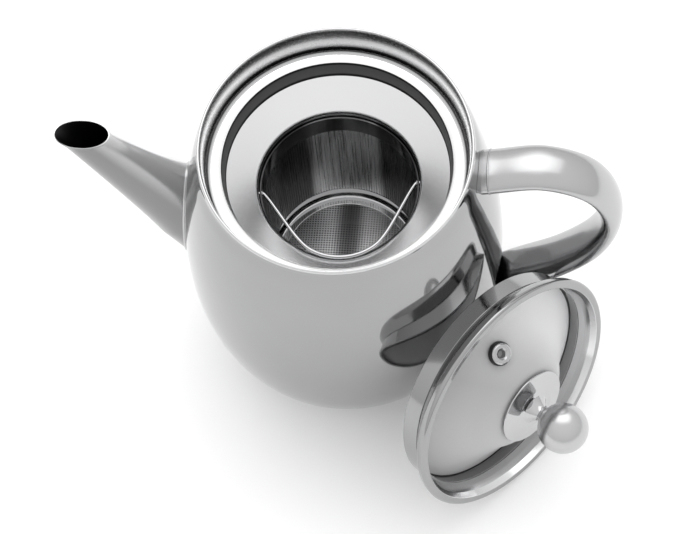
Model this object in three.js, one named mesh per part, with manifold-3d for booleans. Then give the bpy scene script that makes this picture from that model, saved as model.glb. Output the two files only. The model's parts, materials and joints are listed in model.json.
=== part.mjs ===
// Stainless steel teapot with a drop-in infuser and a separate glass lid, in millimetres.
// +Z is up and the origin is the centre of the base on the table. The spout points along -X and the
// handle along +X. The lid stands on its edge beside the pot and leans against it.
import * as THREE from "three";
import { mergeVertices } from "three/addons/utils/BufferGeometryUtils.js";
import Module from "manifold-3d";

// ---- driving dimensions ----
const RIM_R = 52; // outer radius of the mouth's rolled bead
const POT_H = 146; // height of the bead's top above the table
const GAP = 0.3; // clearance between neighbouring pieces
const SIDES = 40; // facets round the large turned pieces
const SMALL_SIDES = 20; // facets round the small turned pieces

const SHELL_WALL = 1.2; // body wall
const BASE_R = 38; // radius of the disc that the pot stands on
const BASE_T = 2; // thickness of that disc
const BODY_OUTLINE = [
  // radius and height of the body's outer face, from the base's edge up to the bead
  [45.5, 5.2],
  [54.3, 20],
  [59.9, 37],
  [62.7, 56],
  [63.1, 76],
  [61.7, 98],
  [58.7, 118],
  [54.9, 135],
  [52.1, 143.4],
];

const NECK_R = 50.2; // inner radius of the neck
const LEDGE_Z = 132.7; // height of the ledge that carries the infuser
const LEDGE_IN_R = 46.9; // inner radius of that ledge
const SHEET = 1; // thickness of formed sheet parts

const INFUSER_RIM_Z = 134.2; // top face of the infuser's rim
const INFUSER_RIM_IN_R = 43.8; // inner edge of that rim
const CROWN = 1; // how much the rim's top rises between its edges
const SLEEVE_R = 45.4; // inner radius of the sleeve under the rim
const SEAL_R = SLEEVE_R - GAP; // outer radius of the seal inside it
const FUNNEL_TOP_Z = 125.4; // where the funnel meets the seal
const FUNNEL_R = 42.8; // radius there
const HOLE_R = 31; // radius of the hole into the basket
const LIP_R = 2.4; // radius of the rounding at the hole
const BASKET_R = 30.7; // outer radius of the basket
const BAND_LOW_Z = 104.3; // lower edge of the basket's solid band
const BASKET_LOW_Z = 48; // lowest part of the basket
const RING_TOP_Z = 55; // top of the basket's bottom ring
const FLOOR_R = 27; // radius of the mesh floor

const WIRE_R = 0.75; // bail wire
const BAIL_Z = 112.5; // height of the bail's pivots
const BAIL_REACH = 32.9; // pivot line to the middle of the loop
const BAIL_LOOP_R = 19; // radius of the loop
const BAIL_HOLE_R = 1.15; // radius of the pivot holes
const BAIL_REST = THREE.MathUtils.degToRad(10.9); // the loop lies on the funnel's lip
const BAIL_TURN = THREE.MathUtils.degToRad(7.5); // direction of the pivot line about Z

const OUTLINE_STEPS = 11; // facets up the body
const WALL_SEAM = 4; // the facet edge where the lower and upper wall are welded and ground flush

const SPOUT_ROOT = [-60, 94]; // x and z of the spout's centre line at the body
const SPOUT_TIP = [-95.9, POT_H]; // and at its mouth
const SPOUT_ROOT_HALF = [13.6, 18.2]; // half width and half depth of its section at the root
const SPOUT_TIP_HALF = [6.1, 8.3]; // and at the mouth
const SPOUT_WALL = 1.1;

const GRIP_W = 18.6; // handle section, along Y
const GRIP_T = 8.8; // and across
const GRIP_WALL = 1.2;
const GRIP_LINE = [
  // x and z along the handle's centre line, from its top weld to its lower weld
  [57.7, 132.4],
  [77.5, 137.3],
  [95, 129.2],
  [104.2, 108],
  [100, 84],
  [87, 64.5],
  [70.4, 50.4],
];

const LID_R = 52; // outer radius of the lid's ring
const LID_DEPTH = 15.5; // front of the ring to the skirt's edge
const LID_AT = [71.3, -56.1]; // x and y of the centre of the ring's front
const LID_LEAN = THREE.MathUtils.degToRad(15.2); // its face looks up by this much
const LID_FACING = THREE.MathUtils.degToRad(-39.1); // and this way round Z
const SKIRT_R = 46.9;
const GLASS_R = 45.1;
const GLASS_T = 1.8;
const DISC_R = 16; // steel disc under the knob
const BALL_R = 10;
const BALL_Z = 25.8; // ball centre in front of the ring
const VENT_R = 28.5; // vent, from the lid's axis towards its highest point
const VENT_Z = -1.7; // glass height there
const VENT_SLOPE = Math.atan2(7.5, 10.4); // slope of the glass there
const VENT_HOLE_R = 3.7;
const GLASS_TOP_Z = 9.6; // glass height at its centre hole
const CENTRE_HOLE_R = 3.4;

const COLOURS = {
  polished: 0xc9cacc,
  satin: 0xb5b6b8,
  mesh: 0x8f9092,
  seal: 0x3c3d3f,
  black: 0x161617,
  glass: 0xdde3e4,
};

// ---- helpers ----
const wasm = await Module();
wasm.setup();

const vec = (x, y, z) => new THREE.Vector3(x, y, z);

function material(finish) {
  const metal = ["polished", "satin", "mesh"].includes(finish);
  return new THREE.MeshStandardMaterial({
    color: COLOURS[finish],
    metalness: metal ? 1 : 0,
    roughness: { polished: 0.08, satin: 0.3, mesh: 0.4, glass: 0.05 }[finish] ?? 0.6,
    transparent: finish === "glass",
    opacity: finish === "glass" ? 0.5 : 1,
  });
}

function toSolid(geometry) {
  const bare = geometry.clone();
  bare.deleteAttribute("normal");
  bare.deleteAttribute("uv");
  const merged = mergeVertices(bare, 1e-3);
  const mesh = new wasm.Mesh({
    numProp: 3,
    vertProperties: merged.attributes.position.array,
    triVerts: new Uint32Array(merged.index.array),
  });
  return new wasm.Manifold(mesh);
}

function toGeometry(solid) {
  const mesh = solid.getMesh();
  return new THREE.BufferGeometry()
    .setAttribute("position", new THREE.BufferAttribute(mesh.vertProperties, 3))
    .setIndex(new THREE.BufferAttribute(mesh.triVerts, 1));
}

const cut = (geometry, ...tools) =>
  toGeometry(tools.reduce((solid, tool) => solid.subtract(toSolid(tool)), toSolid(geometry)));

// A body of revolution about Z from [radius, z] points. The outline closes on itself unless it
// starts and ends on the axis.
function turned(outline, sides = SIDES) {
  const points = outline.map(([r, z]) => new THREE.Vector2(r, z));
  const onAxis = points[0].x === 0 && points.at(-1).x === 0;
  const area = THREE.ShapeUtils.area(points);
  if (area < 0) points.reverse();
  if (!onAxis) points.push(points[0].clone());
  return new THREE.LatheGeometry(points, sides).rotateX(Math.PI / 2).rotateZ(Math.PI / 2);
}

// Points of an arc in an outline, both ends included.
function arc(centreR, centreZ, radius, from, to, steps) {
  return Array.from({ length: steps + 1 }, (_, i) => {
    const a = THREE.MathUtils.degToRad(from + ((to - from) * i) / steps);
    return [centreR + radius * Math.cos(a), centreZ + radius * Math.sin(a)];
  });
}

// A closed skin over a loop of rings that all have the same number of points.
function skinned(rings) {
  const n = rings[0].length;
  const positions = rings.flat().flatMap((p) => [p.x, p.y, p.z]);
  const index = [];
  rings.forEach((_, i) => {
    const j = (i + 1) % rings.length;
    for (let k = 0; k < n; k++) {
      const l = (k + 1) % n;
      index.push(i * n + k, j * n + k, j * n + l, i * n + k, j * n + l, i * n + l);
    }
  });
  const geometry = new THREE.BufferGeometry().setAttribute(
    "position",
    new THREE.Float32BufferAttribute(positions, 3),
  );
  geometry.setIndex(index);
  if (toSolid(geometry).volume() < 0) {
    geometry.setIndex(index.map((_, i) => index[i - (i % 3) + 2 - (i % 3)]));
  }
  return geometry;
}

// A closed solid with end caps from a list of rings.
function capped(rings) {
  const n = rings[0].length;
  const centre = (ring) => {
    const middle = ring.reduce((sum, p) => sum.add(p), vec(0, 0, 0)).divideScalar(n);
    return ring.map(() => middle.clone());
  };
  return skinned([centre(rings[0]), ...rings, centre(rings.at(-1))]);
}

// A solid bar, or a tube if the section has a hole, swept along a curve.
function swept(section, curve, steps) {
  return new THREE.ExtrudeGeometry(section, { steps, extrudePath: curve, curveSegments: 6 });
}

function ovalSection(width, thickness, wall = 0) {
  const shape = new THREE.Shape();
  shape.absellipse(0, 0, width / 2, thickness / 2, 0, 2 * Math.PI);
  if (wall) {
    const hole = new THREE.Path();
    hole.absellipse(0, 0, width / 2 - wall, thickness / 2 - wall, 0, 2 * Math.PI, true);
    shape.holes.push(hole);
  }
  return shape;
}

function mesh(name, geometry, finish) {
  const made = new THREE.Mesh(geometry, material(finish));
  made.name = name;
  return made;
}

// ---- body ----
const bodyCurve = new THREE.SplineCurve(BODY_OUTLINE.map(([r, z]) => new THREE.Vector2(r, z)));

// The body's outer outline from the base up, moved outwards by an offset.
function bodyOutline(offset, steps = OUTLINE_STEPS) {
  return bodyCurve.getPoints(steps).map((p, i) => {
    const along = bodyCurve.getTangent(i / steps);
    return [p.x + along.y * offset, p.y - along.x * offset];
  });
}

function bodyBlank(offset) {
  const outline = bodyOutline(offset, 16);
  return turned([[0, BASE_T], [BASE_R, BASE_T], ...outline, [0, outline.at(-1)[1]]]);
}

function spoutRing(centre, half, grow, sides = 24) {
  const across = vec(0, 1, 0);
  const along = vec(SPOUT_TIP[0] - SPOUT_ROOT[0], 0, SPOUT_TIP[1] - SPOUT_ROOT[1]).normalize();
  const depth = along.clone().cross(across).normalize();
  return Array.from({ length: sides }, (_, i) => {
    const a = (2 * Math.PI * i) / sides;
    return centre
      .clone()
      .addScaledVector(across, (half[0] + grow) * Math.cos(a))
      .addScaledVector(depth, (half[1] + grow) * Math.sin(a));
  });
}

// Rings along the spout, from inside the body to past its mouth.
function spoutRings(grow, from = -0.32, to = 1.16, steps = 6) {
  const eased = (t) => Math.min(t, 1) ** 0.86; // slightly hollow flanks
  return Array.from({ length: steps + 1 }, (_, i) => {
    const t = from + ((to - from) * i) / steps;
    const centre = vec(
      THREE.MathUtils.lerp(SPOUT_ROOT[0], SPOUT_TIP[0], t),
      0,
      THREE.MathUtils.lerp(SPOUT_ROOT[1], SPOUT_TIP[1], t),
    );
    const half = [0, 1].map((k) =>
      THREE.MathUtils.lerp(SPOUT_ROOT_HALF[k], SPOUT_TIP_HALF[k], t > 0 ? eased(t) : t * 0.6),
    );
    return spoutRing(centre, half, grow);
  });
}

// The body's skin between two points of its outline, counted from the base up.
function bodyWall(first, last) {
  const outer = bodyOutline(0).slice(first, last + 1);
  const inner = bodyOutline(-SHELL_WALL).slice(first, last + 1);
  const lift = ([r, z]) => [r, z + GAP];
  const [foot, innerFoot] = [lift(outer[0]), lift(inner[0])];
  const blank = turned([foot, ...outer.slice(1), ...inner.slice(1).reverse(), innerFoot]);
  return cut(blank, capped(spoutRings(-SPOUT_WALL)));
}

// The dished bottom of the pot.
function bodyBottom() {
  const floorZ = BASE_T + GAP;
  return turned([
    [0, floorZ],
    [BASE_R, floorZ],
    bodyOutline(0)[0],
    bodyOutline(-SHELL_WALL)[0],
    [BASE_R, floorZ + SHELL_WALL],
    [0, floorZ + SHELL_WALL],
  ]);
}

function baseDisc() {
  return turned([
    [0, 0],
    [BASE_R - 1.2, 0],
    [BASE_R, 0.8],
    [BASE_R, BASE_T],
    [0, BASE_T],
  ]);
}

function neckCollar() {
  const beadMid = (RIM_R + NECK_R) / 2;
  const beadR = (RIM_R - NECK_R) / 2;
  const beadZ = POT_H - beadR;
  const sleeveR = NECK_R + 0.4;
  return turned([
    ...arc(beadMid, beadZ, beadR, 180, 0, 4),
    [RIM_R - 0.2, beadZ - 1],
    [sleeveR, beadZ - 1],
    [sleeveR, LEDGE_Z - SHEET],
    [LEDGE_IN_R, LEDGE_Z - SHEET],
    [LEDGE_IN_R, LEDGE_Z],
    [NECK_R, LEDGE_Z],
  ]);
}

function spout() {
  const outer = spoutRings(0);
  const inner = spoutRings(-SPOUT_WALL).reverse();
  const above = new THREE.BoxGeometry(80, 60, 40).translate(SPOUT_TIP[0], 0, POT_H + 20);
  return cut(skinned([...outer, ...inner]), bodyBlank(GAP), above);
}

function spoutWeldRing() {
  const tall = 2.2;
  const collar = toSolid(capped(spoutRings(2.4, -0.32, 0.6)));
  const solid = collar
    .intersect(toSolid(bodyBlank(tall)))
    .subtract(toSolid(bodyBlank(GAP)))
    .subtract(toSolid(capped(spoutRings(2 * GAP))));
  return toGeometry(solid.decompose().sort((a, b) => b.volume() - a.volume())[0]);
}

// ---- handle ----
const gripCurve = new THREE.CatmullRomCurve3(GRIP_LINE.map(([x, z]) => vec(x, 0, z)));

function handleGrip() {
  return swept(ovalSection(GRIP_W, GRIP_T, GRIP_WALL), gripCurve, 20);
}

// The short oval socket that joins an end of the grip to the body.
function handleSocket(end, inwards) {
  const start = gripCurve.getPoint(end);
  const away = gripCurve.getTangent(end).multiplyScalar(inwards);
  const line = new THREE.LineCurve3(
    start.clone().addScaledVector(away, GAP),
    start.clone().addScaledVector(away, 16),
  );
  return cut(swept(ovalSection(GRIP_W + 1, GRIP_T + 1), line, 1), bodyBlank(GAP));
}

// ---- infuser ----
// The rim is crowned on top, and its sleeve hangs down round the seal.
function infuserRim() {
  const outR = NECK_R - 0.5;
  const low = LEDGE_Z + GAP;
  const half = (outR - INFUSER_RIM_IN_R) / 2;
  const crownR = (half ** 2 + CROWN ** 2) / (2 * CROWN);
  const edge = THREE.MathUtils.radToDeg(Math.acos(half / crownR));
  return turned([
    [outR, low],
    ...arc(outR - half, INFUSER_RIM_Z - crownR, crownR, edge, 180 - edge, 6),
    [INFUSER_RIM_IN_R, low],
    [SLEEVE_R, low],
    [SLEEVE_R, FUNNEL_TOP_Z - 1.3],
    [SLEEVE_R + SHEET, FUNNEL_TOP_Z - 1.3],
    [SLEEVE_R + SHEET, low],
  ]);
}

function infuserSeal() {
  return turned([
    [INFUSER_RIM_IN_R, LEDGE_Z],
    [SEAL_R, LEDGE_Z],
    [SEAL_R, FUNNEL_TOP_Z + GAP],
    [FUNNEL_R, FUNNEL_TOP_Z + GAP],
  ]);
}

// The funnel's upper face falls in a straight cone and turns down into the hole round a lip.
const LIP_LOW_Z = 115.4;
const CONE_SLOPE = Math.atan2(FUNNEL_TOP_Z - LIP_LOW_Z - LIP_R * 0.6, FUNNEL_R - HOLE_R);

function infuserFunnel() {
  const lipR = HOLE_R + LIP_R;
  const upper = arc(lipR, LIP_LOW_Z, LIP_R, 180, 90 + THREE.MathUtils.radToDeg(CONE_SLOPE), 3);
  const lower = upper.map(([r, z]) => {
    const a = Math.atan2(z - LIP_LOW_Z, r - lipR);
    return [lipR + (LIP_R - SHEET) * Math.cos(a), LIP_LOW_Z + (LIP_R - SHEET) * Math.sin(a)];
  });
  return turned([
    ...upper,
    [FUNNEL_R, FUNNEL_TOP_Z],
    [SEAL_R, FUNNEL_TOP_Z],
    [SEAL_R, FUNNEL_TOP_Z - SHEET],
    [FUNNEL_R + GAP, FUNNEL_TOP_Z - SHEET],
    ...lower.reverse(),
    [HOLE_R + SHEET, LIP_LOW_Z - 1.2],
    [HOLE_R, LIP_LOW_Z - 1.2],
  ]);
}

function tubeOutline(outerR, thickness, low, high) {
  return [
    [outerR - thickness, low],
    [outerR, low],
    [outerR, high],
    [outerR - thickness, high],
  ];
}

function basketBand() {
  const band = turned(tubeOutline(BASKET_R, 0.8, BAND_LOW_Z, LIP_LOW_Z + 0.4));
  const drill = new THREE.CylinderGeometry(BAIL_HOLE_R, BAIL_HOLE_R, 3 * BASKET_R, 12)
    .rotateZ(Math.PI / 2)
    .rotateZ(BAIL_TURN)
    .translate(0, 0, BAIL_Z);
  return cut(band, drill);
}

function basketBottomRing() {
  return turned([
    [BASKET_R, RING_TOP_Z],
    ...arc(BASKET_R - 2.4, BASKET_LOW_Z + 2.4, 2.4, 0, -90, 3),
    [FLOOR_R + GAP, BASKET_LOW_Z],
    [FLOOR_R + GAP, BASKET_LOW_Z + 1],
    ...arc(BASKET_R - 2.4, BASKET_LOW_Z + 2.4, 1.5, -90, 0, 3),
    [BASKET_R - 0.9, RING_TOP_Z],
  ]);
}

function basketFloor() {
  return turned([
    [0, BASKET_LOW_Z + 2.4],
    [12, BASKET_LOW_Z + 2],
    [FLOOR_R, BASKET_LOW_Z + 0.2],
    [FLOOR_R, BASKET_LOW_Z + 1],
    [12, BASKET_LOW_Z + 2.8],
    [0, BASKET_LOW_Z + 3.2],
  ]);
}

// One wire: an end in each pivot hole, two straight legs that draw together, and a round loop.
function bailWire() {
  const wallX = BASKET_R - 0.4;
  const kneeX = wallX - 2;
  const kneeY = -1.6;
  const loopY = BAIL_LOOP_R - BAIL_REACH;
  const toKnee = Math.atan2(kneeY - loopY, kneeX);
  const touch = toKnee - Math.acos(BAIL_LOOP_R / Math.hypot(kneeX, kneeY - loopY));
  const loop = Array.from({ length: 7 }, (_, i) => {
    const a = THREE.MathUtils.lerp(-Math.PI - touch, touch, i / 6);
    return vec(BAIL_LOOP_R * Math.cos(a), loopY + BAIL_LOOP_R * Math.sin(a), 0);
  });
  const leg = (sign) => [
    vec(sign * (wallX + 2), 0, 0),
    vec(sign * (wallX - 0.6), 0, 0),
    vec(sign * kneeX, kneeY, 0),
  ];
  const points = [...leg(-1), ...loop, ...leg(1).reverse()];
  const curve = new THREE.CatmullRomCurve3(points, false, "centripetal");
  const section = new THREE.Shape().absarc(0, 0, WIRE_R, 0, 2 * Math.PI);
  return new THREE.ExtrudeGeometry(section, { steps: 44, extrudePath: curve, curveSegments: 3 })
    .rotateX(-BAIL_REST)
    .rotateZ(BAIL_TURN)
    .translate(0, 0, BAIL_Z);
}

// ---- lid, in its own frame: +Z out of its face, zero at the front of its ring ----
function lidRing() {
  return turned([
    [LID_R - 3.7, 0],
    [LID_R - 1.6, 0],
    ...arc(LID_R - 1.6, -1.6, 1.6, 60, 0, 2),
    [LID_R - 0.7, -3],
    [SKIRT_R, -7.8],
    [SKIRT_R - 1.3, -7.8],
    [46.2, -5],
    [47, -2.6],
  ]);
}

const lidSkirt = () => turned(tubeOutline(SKIRT_R, 1.3, -LID_DEPTH, -7.8 - GAP));

const GLASS_OUTLINE = [
  // radius and height of the glass's outer face
  [GLASS_R, -12.6],
  [36.4, -7.9],
  [26, -0.1],
  [17, 7.3],
  [CENTRE_HOLE_R, GLASS_TOP_Z],
];

function lidGlass() {
  const outer = new THREE.SplineCurve(
    GLASS_OUTLINE.map(([r, z]) => new THREE.Vector2(r, z)),
  ).getPoints(6);
  const inner = outer.map((p) => [p.x, p.y - GLASS_T]).reverse();
  const blank = turned([...outer.map((p) => [p.x, p.y]), ...inner]);
  return cut(blank, atVent(new THREE.CylinderGeometry(VENT_HOLE_R, VENT_HOLE_R, 12, 16).rotateX(Math.PI / 2)));
}

const lidSeal = () => turned(tubeOutline(GLASS_R + 0.2, 1.7, -LID_DEPTH + 0.1, -14.7));

const DISC_Z = GLASS_TOP_Z + GAP; // underside of the knob's disc
const WASHER_TOP_Z = GLASS_TOP_Z - GLASS_T - 1.2; // clear of the curve of the glass

function knobDisc() {
  return turned([
    [CENTRE_HOLE_R, DISC_Z],
    [DISC_R, DISC_Z - 1.2],
    [DISC_R, DISC_Z - 0.4],
    [9, DISC_Z + 0.9],
    [CENTRE_HOLE_R, DISC_Z + 1.1],
  ]);
}

function knobStem() {
  const foot = DISC_Z + 1.1 + GAP;
  return turned(
    [
      [2.4, foot],
      [6.2, foot],
      [5.6, foot + 0.7],
      [4, foot + 2],
      [3.2, foot + 3.9],
      [3.5, BALL_Z - BALL_R * 0.92],
      [2.4, BALL_Z - BALL_R * 0.92],
    ],
    SMALL_SIDES,
  );
}

function knobBall() {
  const low = THREE.MathUtils.radToDeg(Math.asin(-0.9));
  return turned(
    [[0, BALL_Z - BALL_R * 0.9], ...arc(0, BALL_Z, BALL_R, low, 89.9, 12).slice(0, -1), [0, BALL_Z + BALL_R]],
    24,
  );
}

function knobScrew() {
  const head = WASHER_TOP_Z - 1 - GAP;
  return turned(
    [
      [0, head - 2.2],
      [3.4, head - 2.2],
      [4, head - 0.4],
      [4, head],
      [2.1, head],
      [2.1, BALL_Z - BALL_R * 0.95],
      [0, BALL_Z - BALL_R * 0.95],
    ],
    SMALL_SIDES,
  );
}

function knobWasher() {
  return turned(tubeOutline(9, 6.5, WASHER_TOP_Z - 1, WASHER_TOP_Z), SMALL_SIDES);
}

// Moves a piece made about the vent's own axis onto the glass, square to its face.
function atVent(geometry) {
  return geometry
    .rotateY(VENT_SLOPE)
    .translate(VENT_R, 0, VENT_Z)
    .rotateZ(Math.PI / 2);
}

const ventGasket = () =>
  atVent(
    turned(
      [
        [2.5, 1.9],
        [4.7, 1.9],
        [4.9, 0.5],
        [3.1, 0.5],
        [3.1, -3.2],
        [2.5, -3.2],
      ],
      SMALL_SIDES,
    ),
  );

const ventGrommet = () =>
  atVent(
    turned(
      [
        [1.5, 3.1],
        [3.6, 3.1],
        [4.3, 2.7],
        [4.3, 2.2],
        [2.2, 2.2],
        [2.2, -3.6],
        [1.5, -3.6],
      ],
      SMALL_SIDES,
    ),
  );

// ---- assembly ----
const pot = new THREE.Group();
pot.add(
  mesh("body_bottom", bodyBottom(), "polished"),
  mesh("body_lower_wall", bodyWall(0, WALL_SEAM), "polished"),
  mesh("body_upper_wall", bodyWall(WALL_SEAM, OUTLINE_STEPS), "polished"),
  mesh("base_disc", baseDisc(), "satin"),
  mesh("neck_collar", neckCollar(), "polished"),
  mesh("spout", spout(), "polished"),
  mesh("spout_weld_ring", spoutWeldRing(), "polished"),
  mesh("handle_grip", handleGrip(), "polished"),
  mesh("handle_top_socket", handleSocket(0, -1), "polished"),
  mesh("handle_lower_socket", handleSocket(1, 1), "polished"),
);

const infuser = new THREE.Group();
infuser.add(
  mesh("infuser_rim", infuserRim(), "polished"),
  mesh("infuser_seal", infuserSeal(), "seal"),
  mesh("infuser_funnel", infuserFunnel(), "satin"),
  mesh("basket_band", basketBand(), "polished"),
  mesh("basket_mesh", turned(tubeOutline(BASKET_R, 0.8, RING_TOP_Z + GAP, BAND_LOW_Z - GAP)), "mesh"),
  mesh("basket_bottom_ring", basketBottomRing(), "polished"),
  mesh("basket_floor_mesh", basketFloor(), "mesh"),
  mesh("bail_wire", bailWire(), "polished"),
);

const lid = new THREE.Group();
lid.add(
  mesh("lid_ring", lidRing(), "polished"),
  mesh("lid_skirt", lidSkirt(), "polished"),
  mesh("lid_glass", lidGlass(), "glass"),
  mesh("lid_seal", lidSeal(), "seal"),
  mesh("knob_disc", knobDisc(), "polished"),
  mesh("knob_stem", knobStem(), "polished"),
  mesh("knob_ball", knobBall(), "polished"),
  mesh("knob_screw", knobScrew(), "satin"),
  mesh("knob_washer", knobWasher(), "satin"),
  mesh("vent_gasket", ventGasket(), "black"),
  mesh("vent_grommet", ventGrommet(), "polished"),
);

// Stands the lid on the table with its face turned and leaning.
const face = vec(
  Math.cos(LID_LEAN) * Math.cos(LID_FACING),
  Math.cos(LID_LEAN) * Math.sin(LID_FACING),
  Math.sin(LID_LEAN),
);
const sideways = vec(0, 0, 1).cross(face).normalize();
const upwards = face.clone().cross(sideways);
lid.quaternion.setFromRotationMatrix(new THREE.Matrix4().makeBasis(sideways, upwards, face));
const lowest = (z, r) => z * face.z - r * upwards.z;
const standZ = -Math.min(lowest(-1.6, LID_R), lowest(-LID_DEPTH, SKIRT_R));
lid.position.set(LID_AT[0], LID_AT[1], standZ + 0.05);

const teapot = new THREE.Group();
teapot.add(pot, infuser, lid);

export default teapot;
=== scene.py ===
"""Looks for a stainless teapot with a lift-out infuser and a glass lid that leans beside it.

Every length below is in millimetres in the CAD frame and is turned into metres by MM. +Z is up, the spout
points along -X, the handle along +X, and the lid stands on the -Y side.
"""

import json
import math

import bmesh
import bpy
import numpy as np
from mathutils import Matrix, Vector


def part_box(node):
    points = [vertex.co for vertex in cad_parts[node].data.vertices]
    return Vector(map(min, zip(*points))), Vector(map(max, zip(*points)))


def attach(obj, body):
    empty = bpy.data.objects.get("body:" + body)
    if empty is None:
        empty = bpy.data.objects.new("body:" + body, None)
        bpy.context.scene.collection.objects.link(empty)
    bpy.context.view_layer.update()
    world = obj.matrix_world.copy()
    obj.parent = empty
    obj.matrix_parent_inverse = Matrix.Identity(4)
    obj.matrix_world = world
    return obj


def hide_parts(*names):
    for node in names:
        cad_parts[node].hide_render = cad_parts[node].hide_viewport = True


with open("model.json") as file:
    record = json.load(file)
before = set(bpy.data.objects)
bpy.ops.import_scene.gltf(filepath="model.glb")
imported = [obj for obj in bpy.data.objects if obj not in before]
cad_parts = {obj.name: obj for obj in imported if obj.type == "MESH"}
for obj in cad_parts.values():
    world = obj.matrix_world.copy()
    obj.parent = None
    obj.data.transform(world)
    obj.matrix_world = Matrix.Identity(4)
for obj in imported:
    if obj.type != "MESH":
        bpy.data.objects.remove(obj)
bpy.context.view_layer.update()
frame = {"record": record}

MM = 0.001


def low(node):
    """The lowest corner of a CAD node's box, in millimetres."""
    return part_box(node)[0] / MM


def high(node):
    """The highest corner of a CAD node's box, in millimetres."""
    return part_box(node)[1] / MM


# ---- driving sizes, read from the frame ----
HAIR = 0.005  # keeps the finer visual mesh inside the CAD's box
RIM_R = high("neck_collar").x
RIM_Z = high("neck_collar").z - 2 * HAIR
BASE_R = high("base_disc").x
BASE_T = high("base_disc").z
BASKET_R = high("basket_mesh").x
BASKET_LOW = low("basket_bottom_ring").z
BASKET_RING_TOP = high("basket_bottom_ring").z
BAND_LOW = low("basket_band").z
BAND_HIGH = high("basket_band").z
INFUSER_RIM_R = high("infuser_rim").x
INFUSER_RIM_Z = high("infuser_rim").z
SEAL_LOW = low("infuser_seal").z
SEAL_HIGH = high("infuser_seal").z
FUNNEL_TOP = high("infuser_funnel").z
FUNNEL_LOW = low("infuser_funnel").z
SPOUT_MOUTH_Z = high("spout").z

# ---- shapes that the frame's boxes don't give ----
BODY_OUTLINE = [
    (45.5, 5.2), (54.3, 20), (59.9, 37), (62.7, 56), (63.1, 76),
    (61.7, 98), (58.7, 118), (54.9, 135), (52.1, 143.4),
]
SHELL_WALL = 1.2
NECK_BACKING = 0.5  # the wall's thickness behind the neck
NECK_R = 50.2
LEDGE_Z = 132.7
LEDGE_R = 46.9
INFUSER_RIM_IN = 43.8
FUNNEL_R = 42.8
SLEEVE_R = 45.4
SEAL_R = 45.1
CROWN_RISE = 1.2
HOLE_R = 31.0
LIP_R = 2.4
LIP_Z = FUNNEL_LOW + 1.2

SPOUT_ROOT, SPOUT_TIP = Vector((-60, 0, 94)), Vector((-95.9, 0, SPOUT_MOUTH_Z))
SPOUT_HALF_ROOT, SPOUT_HALF_TIP = (13.6, 18.2), (6.1, 8.3)
SPOUT_WALL = 1.1

GRIP_LINE = [
    (57.7, 132.4), (77.5, 137.3), (95, 129.2), (104.2, 108), (100, 84), (87, 64.5), (70.4, 50.4),
]
GRIP_HALF = (9.3, 4.4)

# Facets round the large turned pieces, the grip and the spout, and rows along the spout.
SIDES = 240
GRIP_SIDES = 64
SPOUT_SIDES = 96
SPOUT_ROWS = 40

BAIL = frame["record"]["behaviour"]["joints"][1]
BAIL_Z = BAIL["pos_m"][2] / MM
BAIL_TURN = math.atan2(-BAIL["axis"][1], -BAIL["axis"][0])
BAIL_REST = math.radians(10.9)
BAIL_REACH = 32.9
BAIL_LOOP_R = 19.0
WIRE_R = 0.75

LID_STAND_R = 52.0
LID_R = LID_STAND_R * 0.997
SKIRT_R = 46.9
LID_DEPTH = 15.5
GLASS_R = 45.1
GLASS_T = 1.8
LID_LEAN, LID_FACING = math.radians(15.2), math.radians(-39.1)
LID_AT = (71.3, -56.1)
VENT_R, VENT_Z = 28.5, -1.7
DISC_R = 16.0
BALL_R = 10.0
BALL_Z = 25.8


# ---- outlines and curves ----
def slope(before, here, after, reach_before, reach_after):
    """A curve's tangent at a point, from its neighbours and the parameter lengths to them."""
    return (
        (here - before) / reach_before - (after - before) / (reach_before + reach_after)
        + (after - here) / reach_after
    )


def catmull(points, per_span, power=0.0):
    """Points on a Catmull-Rom curve: power 0 is uniform, 0.25 centripetal on squared lengths."""
    p = [np.array(q, float) for q in points]
    p = [2 * p[0] - p[1], *p, 2 * p[-1] - p[-2]]
    out = []
    for a, b, c, d in zip(p, p[1:], p[2:], p[3:]):
        before, middle, after = (
            max(((v - u) @ (v - u)) ** power, 1e-4) for u, v in ((a, b), (b, c), (c, d)))
        leave = slope(a, b, c, before, middle) * middle
        arrive = slope(b, c, d, middle, after) * middle
        for s in range(per_span):
            t = s / per_span
            out.append(
                (2 * t**3 - 3 * t**2 + 1) * b + (t**3 - 2 * t**2 + t) * leave
                + (3 * t**2 - 2 * t**3) * c + (t**3 - t**2) * arrive
            )
    out.append(p[-2])
    return out


def rounded(corners, closed=True, steps=5):
    """An outline of (r, z, fillet radius) corners with each corner turned into an arc."""
    out = []
    n = len(corners)
    for i, (r, z, fillet) in enumerate(corners):
        here = Vector((r, z))
        if not fillet or (not closed and i in (0, n - 1)):
            out.append((r, z))
            continue
        before = Vector(corners[i - 1][:2]) - here
        after = Vector(corners[(i + 1) % n][:2]) - here
        half = before.angle(after) / 2
        reach = min(fillet / math.tan(half), before.length * 0.48, after.length * 0.48)
        a, b = here + before.normalized() * reach, here + after.normalized() * reach
        centre = here + (before.normalized() + after.normalized()).normalized() * (reach / math.cos(half))
        u, v = a - centre, b - centre
        sweep = u.angle_signed(v)
        for k in range(steps + 1):
            turn = -sweep * k / steps
            c, s = math.cos(turn), math.sin(turn)
            out.append((centre.x + u.x * c - u.y * s, centre.y + u.x * s + u.y * c))
    return out


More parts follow.
